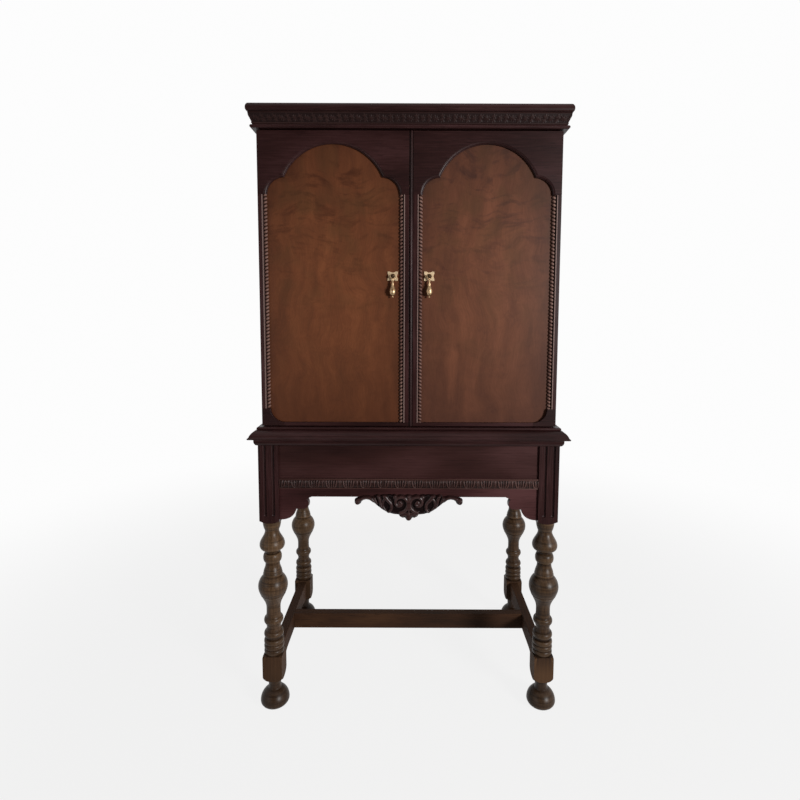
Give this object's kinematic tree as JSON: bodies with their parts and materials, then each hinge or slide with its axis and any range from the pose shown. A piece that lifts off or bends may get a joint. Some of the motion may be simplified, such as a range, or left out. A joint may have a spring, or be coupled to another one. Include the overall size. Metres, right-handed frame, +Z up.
{
  "type": "wine cabinet",
  "caption": "Tall two-door wine cabinet on an open stand with turned legs, an H stretcher, a carved apron crest and a moulded cornice.",
  "frame": {"origin": "centre of the outer box on the floor, under the middle of the four feet", "axes": "+X to the right as seen by someone facing the doors, +Y to the back, +Z up"},
  "size_m": [0.826, 0.4889, 1.584],
  "materials": {
    "dark_walnut": "dark stained walnut under satin lacquer",
    "turned_walnut": "turned walnut, rubbed satin finish",
    "rail_walnut": "plain walnut rail, satin finish",
    "walnut_veneer": "figured walnut veneer under lacquer",
    "inner_wood": "plain inner board, lightly oiled",
    "antique_brass": "aged brass, rubbed bright on its high spots",
    "steel": "plain steel"
  },
  "bodies": {
    "cabinet": {"leg_front_left": "turned_walnut", "leg_front_right": "turned_walnut", "leg_back_left": "turned_walnut", "leg_back_right": "turned_walnut", "post_front_left": "dark_walnut", "post_front_right": "dark_walnut", "post_back_left": "dark_walnut", "post_back_right": "dark_walnut", "side_stretcher_left": "rail_walnut", "side_stretcher_right": "rail_walnut", "cross_stretcher": "rail_walnut", "frieze_panel": "dark_walnut", "frieze_moulding": "dark_walnut", "apron": "dark_walnut", "apron_crest": "dark_walnut", "side_rail_left": "dark_walnut", "side_rail_right": "dark_walnut", "back_rail": "dark_walnut", "glue_blocks": "inner_wood", "waist_board": "dark_walnut", "base_strip": "dark_walnut", "case_bottom": "inner_wood", "case_side_left": "dark_walnut", "case_side_right": "dark_walnut", "case_top": "dark_walnut", "back_panel": "inner_wood", "shelf": "inner_wood", "shelf_pins": "antique_brass", "cornice_bead": "dark_walnut", "cornice_moulding": "dark_walnut", "cornice_top": "dark_walnut", "case_hinge_leaves": "antique_brass", "hinge_pins": "steel", "door_catches": "steel"},
    "left_door": {"left_door_board": "walnut_veneer", "left_spandrel": "dark_walnut", "left_outer_strip": "dark_walnut", "left_inner_strip": "dark_walnut", "left_ropes": "dark_walnut", "left_bottom_strip": "dark_walnut", "left_corner": "dark_walnut", "left_hinge_leaves": "antique_brass", "left_strike": "steel", "left_pull_plate": "antique_brass"},
    "left_pull": {"left_pull_drop": "antique_brass"},
    "right_door": {"right_door_board": "walnut_veneer", "right_spandrel": "dark_walnut", "right_outer_strip": "dark_walnut", "right_inner_strip": "dark_walnut", "right_ropes": "dark_walnut", "right_bottom_strip": "dark_walnut", "right_corner": "dark_walnut", "right_hinge_leaves": "antique_brass", "right_strike": "steel", "right_pull_plate": "antique_brass", "meeting_bead": "dark_walnut"},
    "right_pull": {"right_pull_drop": "antique_brass"}
  },
  "joints": [
    {"name": "left_door_hinge", "type": "hinge", "parent": "cabinet", "child": "left_door", "pos_m": [-0.3815, -0.1865, 1.1525], "axis": [0, 0, -1], "range_deg": [0, 110]},
    {"name": "right_door_hinge", "type": "hinge", "parent": "cabinet", "child": "right_door", "pos_m": [0.3815, -0.1865, 1.1525], "axis": [0, 0, 1], "range_deg": [0, 110]},
    {"name": "left_pull_swing", "type": "hinge", "parent": "left_door", "child": "left_pull", "pos_m": [-0.0425, -0.2135, 1.167], "axis": [-1, 0, 0], "range_deg": [0, 90]},
    {"name": "right_pull_swing", "type": "hinge", "parent": "right_door", "child": "right_pull", "pos_m": [0.0505, -0.2135, 1.167], "axis": [-1, 0, 0], "range_deg": [0, 90]}
  ]
}
